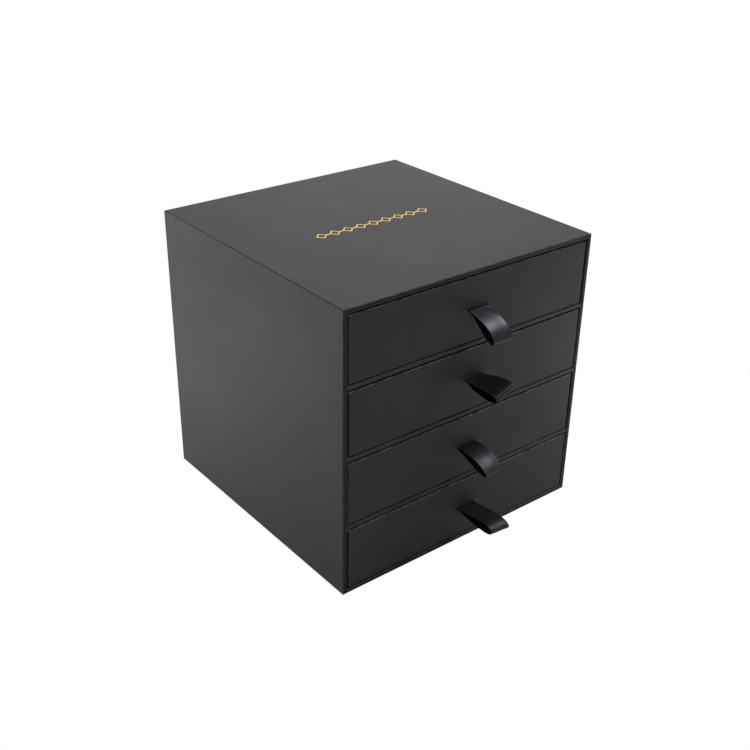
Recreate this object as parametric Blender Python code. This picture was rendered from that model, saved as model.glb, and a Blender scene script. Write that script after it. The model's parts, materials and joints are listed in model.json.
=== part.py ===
"""Four-drawer gift box: a greyboard case wrapped in black paper, three wrapped shelves and
four wrapped trays, each pulled out by a loop of black satin ribbon.

Metres, +Z up. The origin is the centre of the base, and the drawers face -Y.
"""

from collections import namedtuple
import math

import bmesh
import bpy
from mathutils import Vector

# Outside of the case
CASE_WIDTH = 0.200
CASE_DEPTH = 0.200
CASE_HEIGHT = 0.196

# Sheet stock
CASE_BOARD = 0.0025
SHELF_BOARD = 0.0025
TRAY_BOARD = 0.0020
FACING_CARD = 0.0008
PAPER = 0.0002
GLUE_LINE = 0.00005

# Folds and seams of the case's wrap, and the sheets that cover them
FRONT_TURN_IN = 0.018
BACK_TURN_IN = 0.015
SEAM_BEYOND_TURN_IN = 0.005
SEAM_GAP = 0.0001
LINING_GAP = 0.0003
COVER_SHEET_MARGIN = 0.0015

# Shelves
DRAWER_COUNT = 4
SHELF_SETBACK = 0.0002

# Running room round a tray in its compartment
SIDE_CLEARANCE = 0.0009
TOP_CLEARANCE = 0.0012
FLOOR_CLEARANCE = 0.0003
REAR_CLEARANCE = 0.0003
FRONT_RECESS = 0.0005
SIDE_PLAY_SHARES = (-0.2, 0.4, -0.3, 0.4)

# Linings of a tray
FLOOR_LINER_MARGIN = 0.0005
FACING_MARGIN = 0.0006
FACING_BELOW_RIM = 0.0010

# Ribbon, its slot in the tray's front, and its tails glued behind the slot
RIBBON_WIDTH = 0.016
RIBBON_THICKNESS = 0.0003
SLOT_HEIGHT = 0.0013
SLOT_END_CLEARANCE = 0.0005
TAIL_LENGTH = 0.014
CUT_OVERRUN = 0.0006

# The four loops as they lie, from the top drawer down, each past a straight start. LOOP_REACH is
# how far the longest one stands out, and every share is a share of it: offset, how far right of
# the front's centre the slot is punched, reach, the tip's rise over the slot, the reach and rise
# of the bend of the middle line, gape, the widest inside opening, and slew, how much further the
# left edge reaches than the right one. twist, in degrees, turns the tip about the line outwards.
LOOP_START = 0.0006
LOOP_REACH = 0.0332
Pull = namedtuple("Pull", "offset reach tip_rise knee_reach knee_rise gape slew twist")
PULL_SHARES = (
    Pull(0.081, 0.657, -0.431, 0.269, -0.151, 0.164, 0.023, -3),
    Pull(0.087, 0.811, 0.028, 0.218, -0.059, 0.120, 0.030, 20),
    Pull(0.009, 0.765, -0.238, 0.255, -0.036, 0.144, 0.081, -3),
    Pull(0.051, 1.000, 0.004, 0.432, -0.010, 0.166, 0.012, -7),
)
LOOP_STEPS = 28
LOOP_FULLNESS = 3
BEND_STEPS = 3

X, Y, Z = range(3)

# Worked out from the sizes above
SKIN = PAPER + GLUE_LINE
CASE_WALL = SKIN + CASE_BOARD + SKIN
SHELF_THICKNESS = SKIN + SHELF_BOARD + SKIN
TRAY_WALL = SKIN + TRAY_BOARD + SKIN

LEFT, RIGHT = -CASE_WIDTH / 2, CASE_WIDTH / 2
FRONT, REAR = -CASE_DEPTH / 2, CASE_DEPTH / 2
WRAP_REAR = REAR - SKIN
WRAP_BOTTOM = SKIN
SEAM_X = LEFT + BACK_TURN_IN + SEAM_BEYOND_TURN_IN
BOARD_FRONT = FRONT + SKIN
BOARD_REAR = WRAP_REAR - SKIN

INSIDE_RIGHT = RIGHT - CASE_WALL
INSIDE_LEFT = -INSIDE_RIGHT
INSIDE_FLOOR = WRAP_BOTTOM + CASE_WALL
INSIDE_TOP = CASE_HEIGHT - CASE_WALL
INSIDE_REAR = BOARD_REAR - CASE_BOARD - SKIN

SHELF_COUNT = DRAWER_COUNT - 1
COMPARTMENT = (INSIDE_TOP - INSIDE_FLOOR - SHELF_COUNT * SHELF_THICKNESS) / DRAWER_COUNT
SHELF_PITCH = COMPARTMENT + SHELF_THICKNESS

TRAY_FRONT = FRONT + FRONT_RECESS
TRAY_REAR = INSIDE_REAR - REAR_CLEARANCE
TRAY_HALF_WIDTH = INSIDE_RIGHT - SIDE_CLEARANCE
TRAY_HALF_DEPTH = (TRAY_REAR - TRAY_FRONT) / 2
TRAY_HEIGHT = COMPARTMENT - FLOOR_CLEARANCE - TOP_CLEARANCE
TRAY_FLOOR = SKIN + TRAY_BOARD
SLOT_Z = TRAY_HEIGHT / 2
PLY_Z = SLOT_HEIGHT / 2 - GLUE_LINE - RIBBON_THICKNESS / 2
TAIL_BEND = GLUE_LINE + RIBBON_THICKNESS / 2
WIDEST_SHARE = (LOOP_FULLNESS + 1) / (LOOP_FULLNESS + 2)
BELLY_PEAK = 2 * math.sqrt(1 - WIDEST_SHARE) * WIDEST_SHARE ** ((LOOP_FULLNESS + 1) / 2)


def clear_scene():
    for item in list(bpy.data.objects):
        bpy.data.objects.remove(item, do_unlink=True)


def make_material(name, colour, roughness):
    """A plain finish, none of them metallic."""
    material = bpy.data.materials.new(name)
    material.use_nodes = True
    shader = material.node_tree.nodes["Principled BSDF"]
    shader.inputs["Base Color"].default_value = (*colour, 1.0)
    shader.inputs["Roughness"].default_value = roughness
    shader.inputs["Metallic"].default_value = 0.0
    material.diffuse_color = (*colour, 1.0)
    return material


def finish_mesh(bm, name, material):
    bmesh.ops.recalc_face_normals(bm, faces=bm.faces)
    mesh = bpy.data.meshes.new(name)
    bm.to_mesh(mesh)
    bm.free()
    mesh.materials.append(material)
    return mesh


def place(name, mesh, parent=None):
    item = bpy.data.objects.new(name, mesh)
    bpy.context.scene.collection.objects.link(item)
    item.parent = parent
    return item


def board_mesh(name, low, high, material, inner=None, mitred=()):
    """A flat board from corner low to corner high. inner is the (axis, side) of the face that
    lies inside the fold, where each (axis, side) edge in mitred is cut back at 45 degrees."""
    bm = bmesh.new()
    bmesh.ops.create_cube(bm, size=1)
    for vert in bm.verts:
        on_high = [value > 0 for value in vert.co]
        for axis in (X, Y, Z):
            vert.co[axis] = high[axis] if on_high[axis] else low[axis]
        if inner is None or on_high[inner[0]] != (inner[1] > 0):
            continue
        thickness = high[inner[0]] - low[inner[0]]
        for axis, side in mitred:
            if on_high[axis] == (side > 0):
                vert.co[axis] -= side * thickness
    return finish_mesh(bm, name, material)


def lofted_mesh(name, rings, material):
    """One closed body through rings of points, with a flat cap on its first and last ring."""
    bm = bmesh.new()
    loops = [[bm.verts.new(point) for point in ring] for ring in rings]
    for this, following in zip(loops, loops[1:]):
        for i, vert in enumerate(this):
            j = (i + 1) % len(this)
            bm.faces.new((vert, this[j], following[j], following[i]))
    caps = [bm.faces.new(loops[0]), bm.faces.new(loops[-1])]
    bmesh.ops.recalc_face_normals(bm, faces=bm.faces)
    bmesh.ops.triangulate(bm, faces=caps)
    return finish_mesh(bm, name, material)


def case_boards(greyboard):
    """Four walls that meet in V-grooved 45 degree folds, and a back board set between them."""
    side_bottom = WRAP_BOTTOM + SKIN
    side_top = CASE_HEIGHT - SKIN
    outer = RIGHT - SKIN
    both_sides = ((X, -1), (X, 1))
    both_ends = ((Z, -1), (Z, 1))
    inner_edge = outer - CASE_BOARD
    walls = {
        "case_top_board": board_mesh(
            "case_top_board",
            (-outer + GLUE_LINE, BOARD_FRONT, side_top - CASE_BOARD),
            (outer - GLUE_LINE, BOARD_REAR, side_top),
            greyboard, (Z, -1), both_sides),
        "case_bottom_board": board_mesh(
            "case_bottom_board",
            (-outer + GLUE_LINE, BOARD_FRONT, side_bottom),
            (outer - GLUE_LINE, BOARD_REAR, side_bottom + CASE_BOARD),
            greyboard, (Z, 1), both_sides),
        "case_left_board": board_mesh(
            "case_left_board",
            (-outer, BOARD_FRONT, side_bottom + GLUE_LINE),
            (-inner_edge, BOARD_REAR, side_top - GLUE_LINE),
            greyboard, (X, 1), both_ends),
        "case_right_board": board_mesh(
            "case_right_board",
            (inner_edge, BOARD_FRONT, side_bottom + GLUE_LINE),
            (outer, BOARD_REAR, side_top - GLUE_LINE),
            greyboard, (X, -1), both_ends),
        "case_back_board": board_mesh(
            "case_back_board",
            (-inner_edge + GLUE_LINE, BOARD_REAR - CASE_BOARD, side_bottom + CASE_BOARD + GLUE_LINE),
            (inner_edge - GLUE_LINE, BOARD_REAR, side_top - CASE_BOARD - GLUE_LINE),
            greyboard),
    }
    for name, mesh in walls.items():
        place(name, mesh)


def case_wrap(paper):
    """The outer paper: one strip folded round all four walls, turned in over their front edges
    and over the back board, with its butt seam under the base. Its section runs in depth, from
    the outside inwards, and along Y, and every corner of the strip is a mitre."""
    section = (
        (CASE_WALL, FRONT + FRONT_TURN_IN),
        (CASE_WALL, FRONT),
        (0, FRONT),
        (0, WRAP_REAR),
        (BACK_TURN_IN, WRAP_REAR),
        (BACK_TURN_IN, WRAP_REAR - PAPER),
        (PAPER, WRAP_REAR - PAPER),
        (PAPER, FRONT + PAPER),
        (CASE_WALL - PAPER, FRONT + PAPER),
        (CASE_WALL - PAPER, FRONT + FRONT_TURN_IN),
    )
    rings = (
        [(SEAM_X - SEAM_GAP / 2, y, WRAP_BOTTOM + depth) for depth, y in section],
        [(LEFT + depth, y, WRAP_BOTTOM + depth) for depth, y in section],
        [(LEFT + depth, y, CASE_HEIGHT - depth) for depth, y in section],
        [(RIGHT - depth, y, CASE_HEIGHT - depth) for depth, y in section],
        [(RIGHT - depth, y, WRAP_BOTTOM + depth) for depth, y in section],
        [(SEAM_X + SEAM_GAP / 2, y, WRAP_BOTTOM + depth) for depth, y in section],
    )
    place("case_wrap", lofted_mesh("case_wrap", rings, paper))


def case_cover_sheets(paper):
    """Flat sheets over the wrap's seam under the base and over its turn-ins on the back."""
    x = RIGHT - COVER_SHEET_MARGIN
    place("case_base_sheet", board_mesh(
        "case_base_sheet",
        (-x, FRONT + COVER_SHEET_MARGIN, 0),
        (x, WRAP_REAR - COVER_SHEET_MARGIN, PAPER),
        paper))
    place("case_back_sheet", board_mesh(
        "case_back_sheet",
        (-x, REAR - PAPER, WRAP_BOTTOM + COVER_SHEET_MARGIN),
        (x, REAR, CASE_HEIGHT - COVER_SHEET_MARGIN),
        paper))


def case_linings(paper):
    """Paper on the inner faces, in one layer with the wrap's turn-ins and butted to them."""
    start = FRONT + FRONT_TURN_IN + LINING_GAP
    end = INSIDE_REAR + PAPER
    low_x, high_x = INSIDE_LEFT, INSIDE_RIGHT
    low_z, high_z = INSIDE_FLOOR + GLUE_LINE, INSIDE_TOP - GLUE_LINE
    sheets = {
        "case_left_lining": ((low_x - PAPER, start, low_z), (low_x, end, high_z)),
        "case_right_lining": ((high_x, start, low_z), (high_x + PAPER, end, high_z)),
        "case_floor_lining": (
            (low_x - PAPER, start, INSIDE_FLOOR - PAPER), (high_x + PAPER, end, INSIDE_FLOOR)),
        "case_top_lining": (
            (low_x - PAPER, start, INSIDE_TOP), (high_x + PAPER, end, INSIDE_TOP + PAPER)),
        "case_back_lining": (
            (low_x + GLUE_LINE, INSIDE_REAR, low_z), (high_x - GLUE_LINE, end, high_z)),
    }
    for name, (low, high) in sheets.items():
        place(name, board_mesh(name, low, high, paper))


def shelves(greyboard, paper):
    """Shelf boards, each in a paper wrap folded over its front edge, glued between the linings."""
    half_width = INSIDE_RIGHT - GLUE_LINE
    half_wrap = SHELF_THICKNESS / 2
    half_board = SHELF_BOARD / 2
    front = FRONT + SHELF_SETBACK
    rear = INSIDE_REAR - GLUE_LINE
    board = board_mesh(
        "shelf_board", (-half_width, front + SKIN, -half_board), (half_width, rear, half_board),
        greyboard)
    section = (
        (rear, half_wrap),
        (front, half_wrap),
        (front, -half_wrap),
        (rear, -half_wrap),
        (rear, PAPER - half_wrap),
        (front + PAPER, PAPER - half_wrap),
        (front + PAPER, half_wrap - PAPER),
        (rear, half_wrap - PAPER),
    )
    rings = [[(x, y, z) for y, z in section] for x in (-half_width, half_width)]
    wrap = lofted_mesh("shelf_wrap", rings, paper)
    for number in range(1, SHELF_COUNT + 1):
        height = INSIDE_TOP - number * SHELF_PITCH + half_wrap
        for name, mesh in ((f"shelf_{number}_board", board), (f"shelf_{number}_wrap", wrap)):
            place(name, mesh).location.z = height


def tray_board_meshes(greyboard):
    """Base and walls of a tray, folded from V-grooved board, with its origin under its centre."""
    half_x, half_y = TRAY_HALF_WIDTH - SKIN, TRAY_HALF_DEPTH - SKIN
    mitre_x, mitre_y = half_x - GLUE_LINE, half_y - GLUE_LINE
    bottom, mitre_bottom, top = SKIN, SKIN + GLUE_LINE, TRAY_HEIGHT - SKIN
    x_folds = ((X, -1), (X, 1), (Z, -1))
    y_folds = ((Y, -1), (Y, 1), (Z, -1))
    return {
        "base_board": board_mesh(
            "base_board", (-mitre_x, -mitre_y, bottom), (mitre_x, mitre_y, bottom + TRAY_BOARD),
            greyboard, (Z, 1), ((X, -1), (X, 1), (Y, -1), (Y, 1))),
        "front_board": board_mesh(
            "front_board", (-mitre_x, -half_y, mitre_bottom), (mitre_x, TRAY_BOARD - half_y, top),
            greyboard, (Y, 1), x_folds),
        "back_board": board_mesh(
            "back_board", (-mitre_x, half_y - TRAY_BOARD, mitre_bottom), (mitre_x, half_y, top),
            greyboard, (Y, -1), x_folds),
        "left_board": board_mesh(
            "left_board", (-half_x, -mitre_y, mitre_bottom), (TRAY_BOARD - half_x, mitre_y, top),
            greyboard, (X, 1), y_folds),
        "right_board": board_mesh(
            "right_board", (half_x - TRAY_BOARD, -mitre_y, mitre_bottom), (half_x, mitre_y, top),
            greyboard, (X, -1), y_folds),
    }


def tray_wrap_mesh(paper):
    """The tray's paper: under the base, up the walls, over the rim and down to the floor."""
    turn_in_end = TRAY_FLOOR + GLUE_LINE
    folds = (
        (0, 0),
        (0, TRAY_HEIGHT),
        (TRAY_WALL, TRAY_HEIGHT),
        (TRAY_WALL, turn_in_end),
        (TRAY_WALL - PAPER, turn_in_end),
        (TRAY_WALL - PAPER, TRAY_HEIGHT - PAPER),
        (PAPER, TRAY_HEIGHT - PAPER),
        (PAPER, PAPER),
    )
    rings = []
    for inset, z in folds:
        x, y = TRAY_HALF_WIDTH - inset, TRAY_HALF_DEPTH - inset
        rings.append([(-x, -y, z), (x, -y, z), (x, y, z), (-x, y, z)])
    return lofted_mesh("tray_wrap", rings, paper)


def tray_lining_meshes(paper):
    """A card that hides the ribbon's glued tails, and a sheet on the floor, cut to lie clear of
    the walls and of the card."""
    inside_x, inside_y = TRAY_HALF_WIDTH - TRAY_WALL, TRAY_HALF_DEPTH - TRAY_WALL
    bottom = TRAY_FLOOR + GLUE_LINE
    card_x = inside_x - FACING_MARGIN
    card_front = GLUE_LINE + RIBBON_THICKNESS + GLUE_LINE - inside_y
    card_rear = card_front + FACING_CARD
    liner_x = inside_x - FLOOR_LINER_MARGIN
    return {
        "front_facing": board_mesh(
            "front_facing", (-card_x, card_front, bottom),
            (card_x, card_rear, TRAY_HEIGHT - FACING_BELOW_RIM), paper),
        "floor_liner": board_mesh(
            "floor_liner", (-liner_x, card_rear + FLOOR_LINER_MARGIN, bottom),
            (liner_x, inside_y - FLOOR_LINER_MARGIN, bottom + PAPER), paper),
    }


def slot_cutter_mesh(greyboard):
    """The slot that the ribbon's two plies pass through, at half the height of the front."""
    half = RIBBON_WIDTH / 2 + SLOT_END_CLEARANCE
    return board_mesh(
        "slot_cutter",
        (-half, -TRAY_HALF_DEPTH - CUT_OVERRUN, SLOT_Z - SLOT_HEIGHT / 2),
        (half, TRAY_WALL + CUT_OVERRUN - TRAY_HALF_DEPTH, SLOT_Z + SLOT_HEIGHT / 2),
        greyboard)


def loop_line(pull):
    """The ribbon's middle line outside the slot, as (outwards, up, share of the reach). Both
    plies swell away from one quadratic curve and meet in a round fold at its end."""
    knee = LOOP_REACH * Vector((pull.knee_reach, pull.knee_rise))
    tip = LOOP_REACH * Vector((pull.reach, pull.tip_rise))
    points = []
    for step in range(LOOP_STEPS + 1):
        turn = 2 * math.pi * step / LOOP_STEPS
        share = (1 - math.cos(turn)) / 2
        middle = 2 * share * (1 - share) * knee + share * share * tip
        along = ((1 - share) * knee + share * (tip - knee)).normalized()
        across = Vector((-along.y, along.x))
        belly = math.sin(turn) * math.sin(turn / 2) ** LOOP_FULLNESS / BELLY_PEAK
        half_gap = PLY_Z * math.cos(turn / 2) + LOOP_REACH * pull.gape / 2 * belly
        point = middle + half_gap * across
        points.append((LOOP_START + point.x, point.y, share))
    return points


def tail_line(side):
    """One tail's middle line from its glued end, round the slot's inner lip, to the front."""
    lip_out, lip_up = -TRAY_WALL, SLOT_HEIGHT / 2
    points = [(lip_out - TAIL_BEND, side * (lip_up + TAIL_LENGTH), 0)]
    for step in range(BEND_STEPS + 1):
        angle = math.pi / 2 * step / BEND_STEPS
        out = lip_out - TAIL_BEND * math.cos(angle)
        up = lip_up - TAIL_BEND * math.sin(angle)
        points.append((out, side * up, 0))
    return points


def ribbon_mesh(name, pull, satin):
    """A flat band along the whole ribbon: upper tail, slot, loop, slot, lower tail."""
    line = tail_line(1) + loop_line(pull) + tail_line(-1)[::-1]
    rings = []
    for i, (out, up, share) in enumerate(line):
        before, after = line[max(i - 1, 0)], line[min(i + 1, len(line) - 1)]
        along = Vector((after[0] - before[0], after[1] - before[1])).normalized()
        half = Vector((-along.y, along.x)) * (RIBBON_THICKNESS / 2)
        ring = []
        for edge, face in ((-1, -1), (1, -1), (1, 1), (-1, 1)):
            angle = math.radians(pull.twist) * share
            x = LOOP_REACH * pull.offset + edge * RIBBON_WIDTH / 2 * math.cos(angle)
            lift = edge * RIBBON_WIDTH / 2 * math.sin(angle)
            reach = out + face * half.x - edge * LOOP_REACH * pull.slew / 2 * share
            ring.append((x, -TRAY_HALF_DEPTH - reach, SLOT_Z + up + lift + face * half.y))
        rings.append(ring)
    mesh = lofted_mesh(name, rings, satin)
    mesh.shade_smooth()
    mesh.set_sharp_from_angle(angle=math.radians(60))
    return mesh


def drawers(greyboard, paper, satin):
    """Four trays, counted from the top, each under an empty at the foot of its own centre line,
    on which it slides out along -Y."""
    boards = tray_board_meshes(greyboard)
    linings = tray_lining_meshes(paper)
    wrap = tray_wrap_mesh(paper)
    cutter_mesh = slot_cutter_mesh(greyboard)
    for number, (pull, play) in enumerate(zip(PULL_SHARES, SIDE_PLAY_SHARES), start=1):
        slide = place(f"drawer_{number}_slide", None)
        slide.location = (
            play * SIDE_CLEARANCE,
            (TRAY_FRONT + TRAY_REAR) / 2,
            INSIDE_TOP - number * SHELF_PITCH + SHELF_THICKNESS + FLOOR_CLEARANCE,
        )
        cutter = place(f"drawer_{number}_slot_cutter", cutter_mesh, slide)
        cutter.location.x = LOOP_REACH * pull.offset
        cutter.hide_render = True
        cutter.display_type = "WIRE"
        for part, mesh in {**boards, **linings, "wrap": wrap}.items():
            piece = place(f"drawer_{number}_{part}", mesh, slide)
            if part in ("front_board", "wrap"):
                cut = piece.modifiers.new("ribbon_slot", "BOOLEAN")
                cut.operation = "DIFFERENCE"
                cut.solver = "EXACT"
                cut.object = cutter
        name = f"drawer_{number}_ribbon_pull"
        place(name, ribbon_mesh(name, pull, satin), slide)


def main():
    clear_scene()
    greyboard = make_material("greyboard", (0.23, 0.22, 0.20), 0.9)
    paper = make_material("black_paper", (0.055, 0.055, 0.058), 0.72)
    satin = make_material("black_satin", (0.020, 0.019, 0.023), 0.38)
    case_boards(greyboard)
    case_wrap(paper)
    case_cover_sheets(paper)
    case_linings(paper)
    shelves(greyboard, paper)
    drawers(greyboard, paper, satin)
    bpy.context.view_layer.update()


main()
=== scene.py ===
"""The looks of the four-drawer gift box: wraps with rounded folds, satin ribbon pulls, a foil
ornament on the lid, procedural finishes, and the stage that they are seen on.

It is laid out as an add-on and run as a script. Metres, +Z up, drawers facing -Y.
"""

from bisect import bisect_right
from collections import namedtuple
import json
import math

import bmesh
import bpy
from bpy.props import FloatProperty, FloatVectorProperty, IntProperty, PointerProperty
from mathutils import Matrix, Vector, noise


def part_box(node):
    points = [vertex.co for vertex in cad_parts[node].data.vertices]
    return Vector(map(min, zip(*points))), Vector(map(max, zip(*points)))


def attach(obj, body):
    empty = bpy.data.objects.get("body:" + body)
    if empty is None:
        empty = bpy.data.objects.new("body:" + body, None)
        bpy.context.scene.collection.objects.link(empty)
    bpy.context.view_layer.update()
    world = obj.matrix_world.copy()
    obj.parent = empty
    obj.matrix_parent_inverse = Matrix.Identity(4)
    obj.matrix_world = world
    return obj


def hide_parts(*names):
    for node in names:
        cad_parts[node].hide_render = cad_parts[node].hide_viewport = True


bl_info = {
    "name": "Four-drawer gift box",
    "version": (1, 0, 0),
    "blender": (4, 5, 0),
    "location": "View3D > Sidebar > Gift Box",
    "description": "Dresses the packed model of a paper-wrapped gift box with four drawers",
    "category": "Object",
}

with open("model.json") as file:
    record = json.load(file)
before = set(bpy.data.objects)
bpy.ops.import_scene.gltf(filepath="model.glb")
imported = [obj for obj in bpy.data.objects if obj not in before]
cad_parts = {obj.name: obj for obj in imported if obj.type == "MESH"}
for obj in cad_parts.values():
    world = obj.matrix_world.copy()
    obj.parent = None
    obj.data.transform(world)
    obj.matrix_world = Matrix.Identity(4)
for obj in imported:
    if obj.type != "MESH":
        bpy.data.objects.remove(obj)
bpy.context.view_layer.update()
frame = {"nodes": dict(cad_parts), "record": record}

DRAWERS = ("drawer_1", "drawer_2", "drawer_3", "drawer_4")
SHELVES = ("shelf_1", "shelf_2", "shelf_3")
X, Y, Z = range(3)

# A face looks along a direction where its normal's share in that direction is above this.
SQUARE_ON = 0.9
# Folds that turn by more than the first angle are rounded. Edges that turn by more than the
# second shade as sharp.
FOLD_ANGLE = math.pi / 4
SHARP_ANGLE = math.radians(40)
# A slot's cut runs through points of the sheet that are nearer to it than this.
CUT_REACH = 1e-7

# Widths of the papers' clouds, of their rubbed patches, of the breaks in the pale on their folds
# (worn paper and painted highlight) and of their buckles.
CLOUD = 0.055
RUB = 0.021
CHAFE_AND_GLINT = 0.006
BUCKLE = 0.045
# The paper round the case's front edges is darkened with painted shade up to the first of these
# distances behind the front, and as elsewhere from the second.
FRONT_SHADE_REACH = (0.0004, 0.0012)
# Widths of the paper's tooth and of the patches in the foil.
FOIL_TOOTH = 0.0004
FOIL_PATCH = 0.004
# Where the satin's selvedge starts and where it is full, from the ribbon's edge.
SELVEDGE = (0.0008, 0.0005)
# Distance between the satin's crosswise threads, in distances between its lengthwise ones.
WEFT_PITCH = 1.6
# The satin's streaks in each metre along it and across it.
STREAKS_ALONG = 9.0
STREAKS_ACROSS = 700.0
# Heights of the reliefs that the finishes show.
PAPER_RELIEF = 0.000035
BUCKLE_RELIEF = 0.00020
BOARD_RELIEF = 0.00006
SATIN_RELIEF = 0.000012
FOIL_RELIEF = 0.00003

# Room beside the two plies of a ribbon in its slot.
PLY_CLEARANCE = 0.00005
TAIL_BEND_STEPS = 6
# A ribbon's ripples in each metre across it and along it.
RIPPLES_ACROSS = 160
RIPPLES_ALONG = 90
# Radius of the ornament's small lozenges, in thicknesses of its lines.
SMALL_LOZENGE = 0.9

SENSOR_WIDTH = 36.0
FLOOR_HALF_WIDTH = 6.0
# How white the floor is under the middle of the box. It starts to whiten inside the box's
# reach, by this share of the distance at which it is all white.
NEAR_WHITE = 0.55
WHITE_LEAD = 0.35

# The lamps with their places, the points that they face, and widths, heights and watts.
Lamp = namedtuple("Lamp", "name place target width height power")
LAMPS = (
    Lamp("back_softbox", (0.90, 1.10, 0.95), (0.0, 0.0, 0.2), 1.10, 0.90, 6.4),
    Lamp("high_softbox", (0.83, -0.24, 1.40), (0.0, 0.0, 0.1), 0.45, 0.45, 5.9),
    Lamp("left_softbox", (-0.55, 0.75, 0.30), (-0.1, 0.1, 0.1), 0.40, 0.40, 3.6),
    Lamp("left_strip", (-0.28, 0.16, 0.02), (-0.1, 0.05, 0.05), 0.20, 0.03, 0.10),
    Lamp("right_strip", (0.22, -0.15, 0.07), (0.08, -0.1, 0.07), 0.03, 0.18, 0.060),
)

# The four loops as they lie, from the top drawer down. Tip and knee are outwards and up from
# the slot, and gape is the widest that the loop opens. The greater bend is, the nearer that is
# to its tip. At the tip the ribbon is turned by slew metres and by twist degrees. Wave is the
# height of its ripples.
Loop = namedtuple("Loop", "tip knee gape bend slew twist wave seed")
LOOPS = (
    Loop((0.0218, -0.0143), (0.0095, -0.0036), 0.0058, 2.4, 0.0008, -3, 0.00008, 3),
    Loop((0.0269, 0.0005), (0.0072, -0.0010), 0.0050, 2.4, 0.0010, 20, 0.00012, 7),
    Loop((0.0254, -0.0079), (0.0092, -0.0006), 0.0052, 1.4, 0.0027, -3, 0.00008, 12),
    Loop((0.0332, -0.0003), (0.0143, 0.0005), 0.0062, 2.6, 0.0004, -7, 0.00010, 21),
)


def size(name, default, description):
    return FloatProperty(
        name=name, default=default, description=description, unit="LENGTH", precision=5)


def colour(name, default, description):
    return FloatVectorProperty(
        name=name, default=default, description=description, subtype="COLOR", size=3,
        min=0, max=1)


def share(name, default, description):
    return FloatProperty(
        name=name, default=default, description=description, subtype="FACTOR", min=0, max=1)


class GiftBoxPaper(bpy.types.PropertyGroup):
    """Sizes and finish of the wrapping paper"""

    thickness: size("Thickness", 0.0002, "Thickness of the wrapping paper")
    fold_radius: size("Fold radius", 0.0008, "Outside radius of the paper's folds")
    front_turn_in: size("Front turn-in", 0.018, "Paper folded in behind the case's front edges")
    back_turn_in: size("Back turn-in", 0.015, "Paper folded over the back of the case")
    rim_gap: size("Rim gap", 0.00005, "Gap under the end of a tray's turn-in")
    colour: colour("Colour", (0.0665, 0.0655, 0.0735), "Colour of the paper")
    # Pale colour of the folds: worn paper, and a painted highlight where a fold catches the light.
    worn: colour("Worn colour", (0.55, 0.55, 0.56), "Colour of rubbed paper on the folds")
    lining: colour("Lining colour", (0.045, 0.045, 0.047), "Colour of the lining paper")
    roughness: share("Roughness", 0.62, "Roughness of the paper")
    tooth: size("Tooth", 0.00035, "Size of the grain of the paper's surface")
    fold_steps: IntProperty(
        name="Fold steps", default=4, min=1, max=8, description="Faces across a fold")


class GiftBoxRibbon(bpy.types.PropertyGroup):
    """Sizes and finish of the satin ribbon"""

    width: size("Width", 0.016, "Width of the ribbon")
    thickness: size("Thickness", 0.0003, "Thickness of the ribbon")
    tail: size("Tail", 0.014, "Length of each tail that is glued inside")
    start: size("Straight start", 0.0006, "Straight run of the ribbon in front of its slot")
    slot_width: size("Slot width", 0.017, "Width of the slot in a drawer's front")
    slot_height: size("Slot height", 0.0013, "Height of the slot in a drawer's front")
    thread: size("Thread", 0.00016, "Distance between the ribbon's lengthwise threads")
    crown: size("Crown", 0.00008, "How far the middle of the ribbon stands over its edges")
    colour: colour("Colour", (0.011, 0.0105, 0.013), "Colour of the satin")
    sheen: colour("Sheen", (0.90, 0.84, 1.0), "Tint of the satin's sheen")
    roughness: share("Roughness", 0.33, "Roughness of the satin")
    steps: IntProperty(
        name="Steps", default=180, min=40, max=400, description="Faces along the ribbon")
    steps_across: IntProperty(
        name="Steps across", default=12, min=2, max=40, description="Faces across the ribbon")


class GiftBoxFoil(bpy.types.PropertyGroup):
    """Sizes and finish of the foil ornament on the lid"""

    length: size("Length", 0.092, "Length of the ornament")
    height: size("Height", 0.0086, "Height of its lozenges")
    rule: size("Rule", 0.00125, "Thickness of its lines")
    count: IntProperty(
        name="Lozenges", default=9, min=1, max=30, description="Number of open lozenges")
    right: size("Place along X", -0.0015, "Middle of the ornament along X")
    back: size("Place along Y", -0.0015, "Middle of the ornament along Y")
    thickness: size("Thickness", 0.00003, "How far the foil stands on the paper")
    colour: colour("Colour", (0.68, 0.49, 0.07), "Colour of the foil")
    roughness: share("Roughness", 0.40, "Roughness of the foil")


class GiftBoxBoard(bpy.types.PropertyGroup):
    """Finish of the board under the paper"""

    colour: colour("Colour", (0.25, 0.235, 0.215), "Colour of the greyboard")
    fibre: size("Fibre", 0.0006, "Length of the fibres in the greyboard")


class GiftBoxStage(bpy.types.PropertyGroup):
    """Camera, lamps and floor"""

    azimuth: FloatProperty(
        name="Azimuth", default=math.radians(-38.84), subtype="ANGLE",
        description="Direction of the camera round the box")
    elevation: FloatProperty(
        name="Elevation", default=math.radians(28.0), subtype="ANGLE",
        description="Height of the camera over the horizon")
    roll: FloatProperty(
        name="Roll", default=math.radians(0.99), subtype="ANGLE",
        description="Turn of the camera about its own line of sight")
    place: FloatVectorProperty(
        name="Camera", default=(-0.4209, -0.5268, 0.4407), subtype="TRANSLATION", size=3,
        description="Place of the camera")
    lens: FloatProperty(
        name="Lens", default=52.01, min=1, description="Focal length in millimetres")
    floor: colour("Floor colour", (0.88, 0.88, 0.88), "Colour of the floor")
    bounce: colour(
        "Bounce colour", (0.80, 0.80, 0.80), "Colour of the floor in the light that it gives back")
    ambient: FloatProperty(
        name="Ambient", default=0.063, min=0, description="Strength of the light from all round")
    gloss: FloatProperty(
        name="Gloss", default=0.25, min=0, description="Strength of what gloss shows all round")
    glow: share("Glow", 0.1, "Strength of the light that the floor itself gives")
    far: size("White at", 0.45, "Distance from the box where the floor is white")


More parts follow.
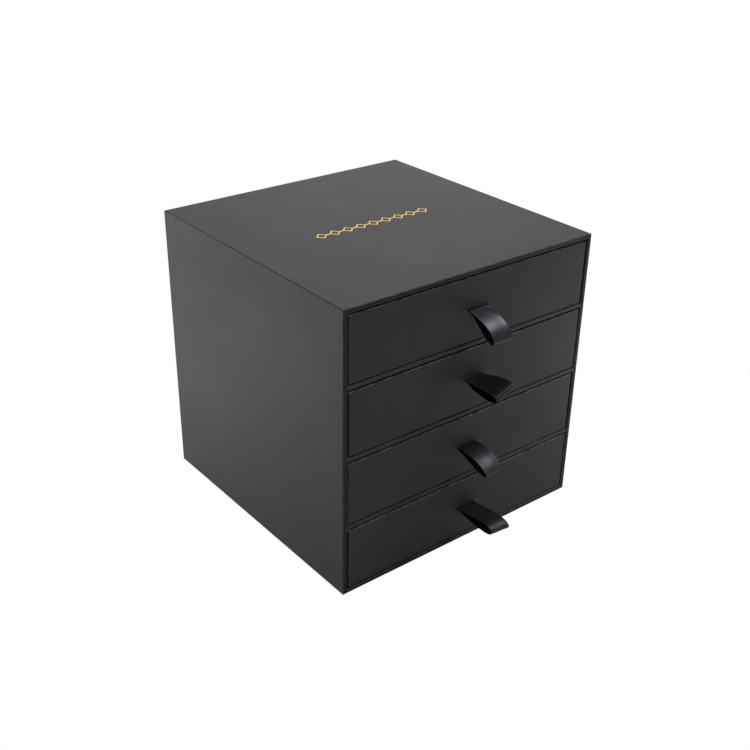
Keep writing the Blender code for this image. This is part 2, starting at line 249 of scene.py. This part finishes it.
class GiftBoxSettings(bpy.types.PropertyGroup):
    """Everything that can be changed"""

    paper: PointerProperty(type=GiftBoxPaper)
    ribbon: PointerProperty(type=GiftBoxRibbon)
    foil: PointerProperty(type=GiftBoxFoil)
    board: PointerProperty(type=GiftBoxBoard)
    stage: PointerProperty(type=GiftBoxStage)


class Wire:
    """A socket in a material's nodes. Arithmetic on it adds Math nodes, and node() adds any
    other node."""

    def __init__(self, tree, socket=None):
        self.tree = tree
        self.socket = socket

    def node(self, kind, settings=None, inputs=None, output=0):
        made = self.tree.nodes.new(kind)
        for name, value in (settings or {}).items():
            setattr(made, name, value)
        for name, value in (inputs or {}).items():
            self.feed(made.inputs[name], value)
        return Wire(self.tree, made.outputs[output])

    def feed(self, socket, value):
        if isinstance(value, Wire):
            self.tree.links.new(value.socket, socket)
        else:
            socket.default_value = value

    def math(self, operation, *values):
        return self.node("ShaderNodeMath", {"operation": operation}, dict(enumerate(values)))

    def __add__(self, other):
        return self.math("ADD", self, other)

    def __sub__(self, other):
        return self.math("SUBTRACT", self, other)

    def __rsub__(self, other):
        return self.math("SUBTRACT", other, self)

    def __mul__(self, other):
        return self.math("MULTIPLY", self, other)

    __radd__ = __add__
    __rmul__ = __mul__

    def __abs__(self):
        return self.math("ABSOLUTE", self)

    def rise(self, low, high):
        """0 below low, 1 above high, and smooth between them."""
        inputs = {"Value": self, "From Min": low, "From Max": high}
        return self.node("ShaderNodeMapRange", {"interpolation_type": "SMOOTHSTEP"}, inputs)

    def blend(self, low, high):
        """The colour low where this is 0, and high where it is 1."""
        inputs = {0: self, 6: low, 7: high}
        return self.node("ShaderNodeMix", {"data_type": "RGBA"}, inputs, output=2)

    def axis(self, axis):
        return self.node("ShaderNodeSeparateXYZ", inputs={"Vector": self}, output=axis)

    def noise(self, place, feature, detail=2.0, roughness=0.5, stretch=None):
        """Noise from 0 to 1 whose blotches are about feature metres across."""
        if stretch is not None:
            place = self.node("ShaderNodeMapping", inputs={"Vector": place, "Scale": stretch})
        inputs = {
            "Vector": place, "Scale": 1 / feature, "Detail": detail, "Roughness": roughness}
        return self.node("ShaderNodeTexNoise", inputs=inputs)

    def bump(self, height, distance, under=None):
        inputs = {"Height": height, "Distance": distance, "Strength": 1.0}
        if under is not None:
            inputs["Normal"] = under
        return self.node("ShaderNodeBump", inputs=inputs)


def rgba(tint, shade=1.0):
    return (tint[0] * shade, tint[1] * shade, tint[2] * shade, 1.0)


def new_finish(name, **constants):
    """A material, the wire that its nodes are added with, and its shader."""
    material = bpy.data.materials.new(name)
    material.use_nodes = True
    shader = material.node_tree.nodes["Principled BSDF"]
    for socket, value in constants.items():
        shader.inputs[socket.replace("_", " ")].default_value = value
    return material, Wire(material.node_tree), shader


def paper_finish(name, look, tint, wear_and_highlight_share, crease_shade=0.0, front=None, shade_by_facing=False):
    """Matt black paper: fine tooth, faint cloudiness and rubbing. Its folds are painted pale, as
    rubbed paper and as a painted highlight, and darkened by a painted crease shade. Where front
    gives the place of the front edges, the pale folds are there alone, and the edges themselves
    are darkened by painted shade. With the last switch on, the folds on top and at the right get
    the painted highlight, and the others get painted shade."""
    material, wire, shader = new_finish(name, Specular_IOR_Level=0.42)
    place = wire.node("ShaderNodeTexCoord", output="Object")
    cloud = wire.noise(place, CLOUD, detail=4.0, roughness=0.6)
    rub = wire.noise(place, RUB, detail=5.0, roughness=0.7, stretch=(1.0, 0.45, 1.0))
    chafe_and_glint = wire.noise(place, CHAFE_AND_GLINT, detail=4.0, roughness=0.65)
    buckle = wire.noise(place, BUCKLE, detail=1.0)
    tooth = wire.noise(place, look.tooth, detail=3.0, roughness=0.65)
    fibre = wire.noise(place, look.tooth * 3, detail=2.0, stretch=(0.35, 0.35, 2.2))
    fold = wire.node("ShaderNodeAttribute", {"attribute_name": "fold"}, output="Fac")
    # Pale folds: partly worn paper, partly a painted highlight.
    worn = fold * (chafe_and_glint.rise(0.36, 0.66) * 0.75 + 0.25) * wear_and_highlight_share
    flat = cloud.rise(0.25, 0.75).blend(rgba(tint, shade=0.93), rgba(tint, shade=1.07))
    speck = tooth.rise(0.62, 0.80) * 0.35
    tinted = speck.blend(flat, rgba(tint, shade=1.4))
    # The case's front edges get painted shade, and only there do its folds keep the pale painted
    # highlight.
    if front is not None:
        dark, clear = FRONT_SHADE_REACH
        edge = 1 - place.axis(Y).rise(front + dark, front + clear)
        worn = worn * edge
        tinted = (edge * (1 - fold) * 0.85).blend(tinted, rgba(tint, shade=0.2))
    # Folds without the pale get a painted crease shade.
    painted_fold_shade = fold * (1 - worn)
    # Painted highlight on folds that face up and to the right, painted shade on the folds that
    # face elsewhere.
    if shade_by_facing:
        facing = wire.node("ShaderNodeTexCoord", output="Normal")
        lit_facing = facing.axis(Z).rise(0.05, 0.5) + facing.axis(X).rise(0.2, 0.7) * 0.7
        worn = worn * lit_facing
        painted_fold_shade = fold * (1 - lit_facing)
    # Painted crease shade on the folds.
    tinted = (painted_fold_shade * crease_shade).blend(tinted, rgba(tint, shade=0.25))
    wire.feed(shader.inputs["Base Color"], worn.blend(tinted, rgba(look.worn)))
    rubbed = rub.rise(0.48, 0.72)
    wire.feed(shader.inputs["Roughness"], look.roughness - rubbed * 0.03 - worn * 0.06)
    broad = wire.bump(buckle, BUCKLE_RELIEF)
    fine = wire.bump(tooth * 0.7 + fibre * 0.5, PAPER_RELIEF, under=broad)
    wire.feed(shader.inputs["Normal"], fine)
    return material


def board_finish(name, look):
    """Grey recycled board: matt, with short dark and pale fibres."""
    material, wire, shader = new_finish(name, Specular_IOR_Level=0.25)
    place = wire.node("ShaderNodeTexCoord", output="Object")
    grain = wire.noise(place, look.fibre, detail=4.0, roughness=0.7)
    fleck = wire.noise(place, look.fibre * 2.5, detail=2.0, stretch=(0.4, 1.0, 2.0))
    tinted = grain.rise(0.3, 0.7).blend(
        rgba(look.colour, shade=0.72), rgba(look.colour, shade=1.18))
    dark = fleck.rise(0.60, 0.68)
    wire.feed(shader.inputs["Base Color"], dark.blend(tinted, rgba(look.colour, shade=0.35)))
    wire.feed(shader.inputs["Roughness"], 0.86 + grain * 0.1)
    wire.feed(shader.inputs["Normal"], wire.bump(grain, BOARD_RELIEF))
    return material


def satin_finish(name, look, length):
    """Black satin: lengthwise threads, a tighter selvedge at both edges, and a soft sheen."""
    material, wire, shader = new_finish(
        name, Specular_IOR_Level=0.85, Specular_Tint=rgba(look.sheen))
    flat = wire.node("ShaderNodeUVMap", {"uv_map": "UVMap"})
    along = flat.axis(X) * length
    across = (flat.axis(Y) - 0.5) * look.width
    start, full = SELVEDGE
    edge = abs(across).rise(look.width / 2 - start, look.width / 2 - full)
    warp = (across * (math.tau / look.thread)).math("SINE") * 0.5 + 0.5
    weft = (along * (math.tau / (look.thread * WEFT_PITCH))).math("SINE") * 0.5 + 0.5
    yarn = wire.node(
        "ShaderNodeCombineXYZ",
        inputs={"X": along * STREAKS_ALONG, "Y": across * STREAKS_ACROSS, "Z": 0.0})
    streak = wire.noise(yarn, 1.0, detail=3.0)
    tinted = streak.rise(0.3, 0.7).blend(
        rgba(look.colour, shade=0.75), rgba(look.colour, shade=1.35))
    wire.feed(shader.inputs["Base Color"], edge.blend(tinted, rgba(look.colour, shade=0.8)))
    wire.feed(shader.inputs["Roughness"], look.roughness + streak * 0.08 + edge * 0.15 - 0.04)
    height = warp * 0.6 + weft * (0.25 + edge * 0.75) + streak * 0.5
    wire.feed(shader.inputs["Normal"], wire.bump(height, SATIN_RELIEF))
    return material


def foil_finish(name, look):
    """Hot-stamped foil: bright and thin, so the tooth of the paper shows through it."""
    material, wire, shader = new_finish(name, Metallic=1.0)
    place = wire.node("ShaderNodeTexCoord", output="Object")
    tooth = wire.noise(place, FOIL_TOOTH, detail=3.0)
    patch = wire.noise(place, FOIL_PATCH)
    tinted = patch.rise(0.3, 0.7).blend(
        rgba(look.colour, shade=0.86), rgba(look.colour, shade=1.06))
    wire.feed(shader.inputs["Base Color"], tinted)
    wire.feed(shader.inputs["Roughness"], look.roughness + patch * 0.12)
    wire.feed(shader.inputs["Normal"], wire.bump(tooth, FOIL_RELIEF))
    return material


def place_mesh(bm, name, material, smooth=True):
    """The mesh as an object at the origin. Smooth shading stops at sharp folds and at rims."""
    mesh = bpy.data.meshes.new(name)
    bm.to_mesh(mesh)
    rims = [edge.index for edge in bm.edges if edge.is_boundary]
    bm.free()
    item = bpy.data.objects.new(name, mesh)
    bpy.context.scene.collection.objects.link(item)
    mesh.materials.append(material)
    if smooth:
        mesh.shade_smooth()
        mesh.set_sharp_from_angle(angle=SHARP_ANGLE)
        for index in rims:
            mesh.edges[index].use_edge_sharp = True
    return item


def open_box(low, high, *missing):
    """A box from corner low to corner high without the sides that face along missing."""
    bm = bmesh.new()
    matrix = Matrix.Translation((low + high) / 2) @ Matrix.Diagonal((*(high - low), 1))
    bmesh.ops.create_cube(bm, size=1, matrix=matrix)
    bm.normal_update()
    sides = [Vector(side) for side in missing]
    gone = [f for f in bm.faces if any(f.normal.dot(side) > SQUARE_ON for side in sides)]
    bmesh.ops.delete(bm, geom=gone, context="FACES_ONLY")
    return bm


def fold_in(bm, rim, middle, inset=(0, 0, 0), shift=(0, 0, 0)):
    """Extends the sheet from its rim: every new edge drawn in towards the middle by inset, or
    moved by shift. Returns the new rim."""
    made = bmesh.ops.extrude_edge_only(bm, edges=rim)["geom"]
    verts = [item for item in made if isinstance(item, bmesh.types.BMVert)]
    for vert in verts:
        for axis in (X, Y, Z):
            side = math.copysign(1, vert.co[axis] - middle[axis])
            vert.co[axis] += shift[axis] - side * inset[axis]
    moved = set(verts)
    return [e for e in bm.edges if e.verts[0] in moved and e.verts[1] in moved and e.is_boundary]


def round_folds(bm, look):
    """Rounds every right-angled fold and marks its crest in the attribute fold."""
    bmesh.ops.recalc_face_normals(bm, faces=bm.faces)
    crest = bm.verts.layers.float.new("fold")
    folds = [e for e in bm.edges if not e.is_boundary and e.calc_face_angle(0) > FOLD_ANGLE]
    made = bmesh.ops.bevel(
        bm, geom=folds, affect="EDGES", offset=look.fold_radius, offset_type="OFFSET",
        segments=look.fold_steps, profile=0.5, material=-1, clamp_overlap=True)
    strips = set(made["faces"])
    for vert in made["verts"]:
        if all(face in strips for face in vert.link_faces):
            vert[crest] = 1.0


def cut_slot(bm, middle, width, height, depth):
    """Opens a slot through the sheets that face along Y within depth behind middle."""
    low = middle - Vector((width / 2, 0.0, height / 2))
    high = middle + Vector((width / 2, depth, height / 2))

    def sheets():
        return [
            f for f in bm.faces if abs(f.normal.y) > SQUARE_ON
            and low.y - depth < f.calc_center_median().y < high.y]

    for axis in (X, Z):
        normal = Vector((0, 0, 0))
        normal[axis] = 1
        for corner in (low, high):
            geom = sheets()
            edges = dict.fromkeys(e for f in geom for e in f.edges)
            verts = dict.fromkeys(v for f in geom for v in f.verts)
            bmesh.ops.bisect_plane(
                bm, geom=[*geom, *edges, *verts], plane_co=corner, plane_no=normal,
                dist=CUT_REACH)
    gone = []
    for face in sheets():
        centre = face.calc_center_median()
        if all(low[axis] < centre[axis] < high[axis] for axis in (X, Z)):
            gone.append(face)
    bmesh.ops.delete(bm, geom=gone, context="FACES")


def ready(item, body, slot, *nodes):
    """A finished piece rides on its body and stands for its CAD nodes; slot is not used."""
    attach(item, body)
    if nodes:
        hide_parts(*nodes)


def wrap(bm, owner, body, material, look):
    """Makes a folded sheet the paper wrap of its owner. It gets its thickness, and its flats
    shade flat beside the rounded folds."""
    item = place_mesh(bm, f"{owner}_paper_wrap", material)
    wall = item.modifiers.new("paper", "SOLIDIFY")
    wall.thickness = look.thickness
    wall.offset = -1.0
    wall.use_even_offset = True
    wall.use_quality_normals = True
    even = item.modifiers.new("even_shading", "WEIGHTED_NORMAL")
    even.keep_sharp = True
    ready(item, body, "black_paper", f"{owner}_wrap")


class GIFTBOX_OT_stage(bpy.types.Operator):
    """Camera, soft lamps, pale floor and white surroundings"""

    bl_idname = "giftbox.stage"
    bl_label = "Stage"

    def execute(self, context):
        look = context.scene.gift_box.stage
        self.camera(context, look)
        self.lamps(context)
        self.surroundings(context, look)
        self.floor(look)
        context.scene.view_settings.view_transform = "Standard"
        return {"FINISHED"}

    def camera(self, context, look):
        back = Vector((
            math.sin(look.azimuth) * math.cos(look.elevation),
            -math.cos(look.azimuth) * math.cos(look.elevation),
            math.sin(look.elevation)))
        level = Vector((0, 0, 1)).cross(back).normalized()
        right = Matrix.Rotation(look.roll, 3, back) @ level
        camera = bpy.data.objects.new("camera", bpy.data.cameras.new("camera"))
        axes = Matrix((right, back.cross(right), back)).transposed()
        camera.matrix_world = Matrix.Translation(look.place) @ axes.to_4x4()
        camera.data.lens = look.lens
        camera.data.sensor_width = SENSOR_WIDTH
        camera.data.clip_start = 0.01
        context.scene.collection.objects.link(camera)
        context.scene.camera = camera

    def lamps(self, context):
        for lamp in LAMPS:
            place, target = Vector(lamp.place), Vector(lamp.target)
            light = bpy.data.lights.new(lamp.name, "AREA")
            light.shape = "RECTANGLE"
            light.size = lamp.width
            light.size_y = lamp.height
            light.energy = lamp.power
            item = bpy.data.objects.new(lamp.name, light)
            item.visible_camera = False
            item.location = place
            item.rotation_euler = (target - place).to_track_quat("-Z", "Y").to_euler()
            context.scene.collection.objects.link(item)

    def surroundings(self, context, look):
        """A world that is white to the camera, pale in gloss and dim to everything else."""
        world = bpy.data.worlds.new("surroundings")
        world.use_nodes = True
        wire = Wire(world.node_tree)
        background = world.node_tree.nodes["Background"]
        seen = wire.node("ShaderNodeLightPath", output="Is Camera Ray")
        gloss = wire.node("ShaderNodeLightPath", output="Is Glossy Ray")
        background.inputs["Color"].default_value = (1, 1, 1, 1)
        wire.feed(
            background.inputs["Strength"],
            seen * (1 - look.ambient) + gloss * (look.gloss - look.ambient) + look.ambient)
        context.scene.world = world

    def floor(self, look):
        """A floor that keeps the box's soft shadow and turns white away from it."""
        bm = bmesh.new()
        bmesh.ops.create_grid(bm, x_segments=1, y_segments=1, size=FLOOR_HALF_WIDTH)
        material, wire, shader = new_finish("floor", Roughness=0.9, Specular_IOR_Level=0.1)
        seen = wire.node("ShaderNodeLightPath", output="Is Camera Ray")
        wire.feed(shader.inputs["Base Color"], seen.blend(rgba(look.bounce), rgba(look.floor)))
        glow, none = rgba((look.glow,) * 3), rgba((0, 0, 0))
        wire.feed(shader.inputs["Emission Color"], seen.blend(glow, none))
        shader.inputs["Emission Strength"].default_value = 1.0
        place = wire.node("ShaderNodeTexCoord", output="Object")
        along, across = place.axis(X), place.axis(Y)
        distance = (along * along + across * across).math("SQRT")
        case_low, case_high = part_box("case_wrap")
        reach = (case_high - case_low).length / 2
        away = distance.rise(reach - look.far * WHITE_LEAD, reach + look.far)
        faded = away * (1 - NEAR_WHITE) + NEAR_WHITE
        white = wire.node("ShaderNodeEmission", inputs={"Strength": 1.0})
        lit = Wire(material.node_tree, shader.outputs["BSDF"])
        mixed = wire.node("ShaderNodeMixShader", inputs={0: faded * seen, 1: lit, 2: white})
        surface = material.node_tree.nodes["Material Output"].inputs["Surface"]
        wire.feed(surface, mixed)
        floor = place_mesh(bm, "floor", material, smooth=False)


class GIFTBOX_OT_boards(bpy.types.Operator):
    """Gives the boards, linings, liners, facings and cover sheets their finishes"""

    bl_idname = "giftbox.boards"
    bl_label = "Boards and linings"

    def execute(self, context):
        settings = context.scene.gift_box
        paper = settings.paper
        finishes = {
            "greyboard": board_finish("greyboard_fibre", settings.board),
            "black_paper": paper_finish("cover_paper", paper, paper.colour, 0.0),
            "lining_paper": paper_finish("lining_paper_tooth", paper, paper.lining, 0.0),
            "lining_card": paper_finish("lining_card_tooth", paper, paper.lining, 0.0),
        }
        record = frame["record"]
        slots = {part["node"]: part["material_slot"] for part in record["subparts"]}
        for node, item in frame["nodes"].items():
            if slots[node] in finishes:
                item.material_slots[0].material = finishes[slots[node]]
        return {"FINISHED"}


class GIFTBOX_OT_case_wrap(bpy.types.Operator):
    """The case's outer paper, folded round the walls and turned in at the front and back"""

    bl_idname = "giftbox.case_wrap"
    bl_label = "Case wrap"

    def execute(self, context):
        look = context.scene.gift_box.paper
        low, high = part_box("case_wrap")
        wall = high.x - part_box("shelf_1_wrap")[1].x
        middle = (low + high) / 2
        bm = open_box(low, high, (0, -1, 0), (0, 1, 0))
        rims = [e for e in bm.edges if e.is_boundary]
        front = [e for e in rims if e.verts[0].co.y + e.verts[1].co.y < 2 * middle.y]
        back = [e for e in rims if e not in front]
        front = fold_in(bm, front, middle, inset=(wall, 0, wall))
        fold_in(bm, front, middle, shift=(0, look.front_turn_in, 0))
        fold_in(bm, back, middle, inset=(look.back_turn_in, 0, look.back_turn_in))
        round_folds(bm, look)
        # The case gets a painted crease shade on its folds, and painted shade on its front edges.
        material = paper_finish("case_paper", look, look.colour, 0.18, crease_shade=0.75, front=low.y)
        wrap(bm, "case", "case", material, look)
        return {"FINISHED"}


class GIFTBOX_OT_shelf_wraps(bpy.types.Operator):
    """The paper over each shelf, folded over its front edge"""

    bl_idname = "giftbox.shelf_wraps"
    bl_label = "Shelf wraps"

    def execute(self, context):
        look = context.scene.gift_box.paper
        # The shelves' front folds are painted a little pale: worn paper and painted highlight.
        material = paper_finish("shelf_paper", look, look.colour, 0.1)
        for shelf in SHELVES:
            low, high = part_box(f"{shelf}_wrap")
            bm = open_box(low, high, (-1, 0, 0), (1, 0, 0), (0, 1, 0))
            round_folds(bm, look)
            wrap(bm, shelf, "case", material, look)
        return {"FINISHED"}


class GIFTBOX_OT_tray_wraps(bpy.types.Operator):
    """The paper over each drawer: under the base, up the walls, over the rim and down inside"""

    bl_idname = "giftbox.tray_wraps"
    bl_label = "Drawer wraps"

    def execute(self, context):
        settings = context.scene.gift_box
        look, ribbon = settings.paper, settings.ribbon
        # The drawers' folds get the painted highlight on top and at the right, and painted shade
        # elsewhere.
        material = paper_finish("drawer_paper", look, look.colour, 0.85, crease_shade=0.9, shade_by_facing=True)
        for drawer in DRAWERS:
            low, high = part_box(f"{drawer}_wrap")
            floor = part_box(f"{drawer}_base_board")[1].z
            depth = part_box(f"{drawer}_front_facing")[0].y - low.y
            wall = tray_wall(drawer)
            middle = (low + high) / 2
            bm = open_box(low, high, (0, 0, 1))
            rim = [e for e in bm.edges if e.is_boundary]
            rim = fold_in(bm, rim, middle, inset=(wall, wall, 0))
            fold_in(bm, rim, middle, shift=(0, 0, floor + look.rim_gap - high.z))
            round_folds(bm, look)
            bm.normal_update()
            cut_slot(bm, slot_middle(drawer), ribbon.slot_width, ribbon.slot_height, depth)
            wrap(bm, drawer, drawer, material, look)
        return {"FINISHED"}


def tray_wall(drawer):
    """The thickness of a tray's wall, which is its left board between two papers."""
    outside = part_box(f"{drawer}_wrap")[0]
    board_low, board_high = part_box(f"{drawer}_left_board")
    skin = board_low.x - outside.x
    return skin + (board_high.x - board_low.x) + skin


def slot_middle(drawer):
    """The middle of the slot, on the front of a drawer."""
    ribbon_low, ribbon_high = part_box(f"{drawer}_ribbon_pull")
    wrap_low, wrap_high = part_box(f"{drawer}_wrap")
    return Vector((
        (ribbon_low.x + ribbon_high.x) / 2, wrap_low.y, (wrap_low.z + wrap_high.z) / 2))


class GIFTBOX_OT_ribbons(bpy.types.Operator):
    """A satin ribbon for each drawer, cut flat, folded into a loop and passed through the slot"""

    bl_idname = "giftbox.ribbons"
    bl_label = "Ribbon pulls"

    def execute(self, context):
        look = context.scene.gift_box.ribbon
        for drawer, loop in zip(DRAWERS, LOOPS):
            line = self.path(drawer, loop, look)
            stations = [0.0]
            for before, after in zip(line, line[1:]):
                step = math.hypot(after[0] - before[0], after[1] - before[1])
                stations.append(stations[-1] + step)
            length = stations[-1]
            bm = self.flat_ribbon(look)
            self.bend(bm, line, stations, slot_middle(drawer), loop, look)
            bmesh.ops.recalc_face_normals(bm, faces=bm.faces)
            material = satin_finish(f"{drawer}_satin", look, length)
            item = place_mesh(bm, f"{drawer}_satin_ribbon", material)
            cloth = item.modifiers.new("cloth", "SOLIDIFY")
            cloth.thickness = look.thickness
            cloth.offset = 0.0
            ready(item, drawer, "black_satin", f"{drawer}_ribbon_pull")
        return {"FINISHED"}

    def path(self, drawer, loop, look):
        """The middle line as (outwards, up, share of the reach), from one glued end through the
        loop to the other."""
        inner_lip = -tray_wall(drawer)
        ply = PLY_CLEARANCE + look.thickness / 2
        tail = [(inner_lip - ply, look.slot_height / 2 + look.tail, 0.0)]
        for step in range(TAIL_BEND_STEPS + 1):
            angle = math.pi / 2 * step / TAIL_BEND_STEPS
            out = inner_lip - ply * math.cos(angle)
            tail.append((out, look.slot_height / 2 - ply * math.sin(angle), 0.0))
        widest = (loop.bend + 1) / (loop.bend + 2)
        peak = 2 * math.sqrt(1 - widest) * widest ** ((loop.bend + 1) / 2)
        knee, tip = Vector(loop.knee), Vector(loop.tip)
        curve = []
        for step in range(look.steps + 1):
            turn = math.tau * step / look.steps
            part = (1 - math.cos(turn)) / 2
            middle = 2 * part * (1 - part) * knee + part * part * tip
            along = ((1 - part) * knee + part * (tip - knee)).normalized()
            belly = math.sin(turn) * abs(math.sin(turn / 2)) ** loop.bend / peak
            half_gap = ply * math.cos(turn / 2) + loop.gape / 2 * belly
            point = middle + half_gap * Vector((-along.y, along.x))
            curve.append((look.start + point.x, point.y, part))
        return tail + curve + [(out, -up, part) for out, up, part in reversed(tail)]

    def flat_ribbon(self, look):
        """The flat band with its UV map, from 0 to 1 along and across."""
        bm = bmesh.new()
        bm.loops.layers.uv.new("UVMap")
        bmesh.ops.create_grid(
            bm, x_segments=look.steps, y_segments=look.steps_across, size=0.5, calc_uvs=True)
        return bm

    def bend(self, bm, line, stations, slot, loop, look):
        """Takes each point of the flat band to its place on the bent line, with the loop's
        twist, slew and slight unevenness."""
        for vert in bm.verts:
            station = (vert.co.x + 0.5) * stations[-1]
            across = vert.co.y * look.width
            index = min(bisect_right(stations, station), len(stations) - 1) - 1
            span = stations[index + 1] - stations[index]
            near = (station - stations[index]) / span
            (out_a, up_a, part_a), (out_b, up_b, part_b) = line[index], line[index + 1]
            part = part_a + (part_b - part_a) * near
            along = Vector((out_b - out_a, up_b - up_a)).normalized()
            ripple = noise.noise(
                Vector((across * RIPPLES_ACROSS, station * RIPPLES_ALONG, loop.seed)))
            crown = look.crown * (1 - (2 * vert.co.y) ** 2)
            free = min(1.0, part * 4)
            lift = (crown + loop.wave * ripple * 2) * free
            angle = math.radians(loop.twist) * part
            out = out_a + (out_b - out_a) * near - along.y * lift
            up = up_a + (up_b - up_a) * near + along.x * lift
            out -= across / look.width * loop.slew * part
            vert.co = slot + Vector((
                across * math.cos(angle), -out, up + across * math.sin(angle)))


class GIFTBOX_OT_foil(bpy.types.Operator):
    """A foil ornament on the lid: a chain of open lozenges with a small one between them"""

    bl_idname = "giftbox.foil"
    bl_label = "Foil ornament"

    def execute(self, context):
        look = context.scene.gift_box.foil
        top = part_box("case_wrap")[1].z
        pitch = (look.length - look.height) / (look.count - 1)
        bm = bmesh.new()
        for index in range(look.count):
            along = (index - (look.count - 1) / 2) * pitch
            self.ring(bm, along, look.height / 2, look.rule)
            if index:
                self.lozenge(bm, along - pitch / 2, look.rule * SMALL_LOZENGE)
        place = Vector((look.right, look.back, top))
        bmesh.ops.translate(bm, verts=bm.verts, vec=place)
        bmesh.ops.recalc_face_normals(bm, faces=bm.faces)
        material = foil_finish("gold_foil", look)
        item = place_mesh(bm, "lid_foil_ornament", material, smooth=False)
        plate = item.modifiers.new("foil", "SOLIDIFY")
        plate.thickness = look.thickness
        plate.offset = 1.0
        ready(item, "case", "black_paper")
        return {"FINISHED"}

    def lozenge(self, bm, along, radius):
        made = bmesh.ops.create_circle(
            bm, cap_ends=True, segments=4, radius=radius,
            matrix=Matrix.Translation((along, 0, 0)))
        return made["verts"]

    def ring(self, bm, along, radius, width):
        verts = self.lozenge(bm, along, radius)
        face = next(f for f in bm.faces if set(f.verts) == set(verts))
        bmesh.ops.inset_individual(bm, faces=[face], thickness=width, depth=0.0)
        bmesh.ops.delete(bm, geom=[face], context="FACES_ONLY")


class GIFTBOX_PT_panel(bpy.types.Panel):
    """Lists the steps and the settings"""

    bl_idname = "GIFTBOX_PT_panel"
    bl_label = "Gift Box"
    bl_space_type = "VIEW_3D"
    bl_region_type = "UI"
    bl_category = "Gift Box"

    def draw(self, context):
        settings = context.scene.gift_box
        for operator in OPERATORS:
            self.layout.operator(operator.bl_idname)
        for group in ("paper", "ribbon", "foil", "board", "stage"):
            box = self.layout.box()
            box.label(text=group.capitalize())
            look = getattr(settings, group)
            for name in look.__annotations__:
                box.prop(look, name)


OPERATORS = (
    GIFTBOX_OT_stage,
    GIFTBOX_OT_boards,
    GIFTBOX_OT_case_wrap,
    GIFTBOX_OT_shelf_wraps,
    GIFTBOX_OT_tray_wraps,
    GIFTBOX_OT_ribbons,
    GIFTBOX_OT_foil,
)
CLASSES = (
    GiftBoxPaper,
    GiftBoxRibbon,
    GiftBoxFoil,
    GiftBoxBoard,
    GiftBoxStage,
    GiftBoxSettings,
    *OPERATORS,
    GIFTBOX_PT_panel,
)


def register():
    for made in CLASSES:
        bpy.utils.register_class(made)
    bpy.types.Scene.gift_box = PointerProperty(type=GiftBoxSettings)


def unregister():
    del bpy.types.Scene.gift_box
    for made in reversed(CLASSES):
        bpy.utils.unregister_class(made)


def main():
    register()
    for operator in OPERATORS:
        group, name = operator.bl_idname.split(".")
        getattr(getattr(bpy.ops, group), name)()


if __name__ == "__main__":
    main()
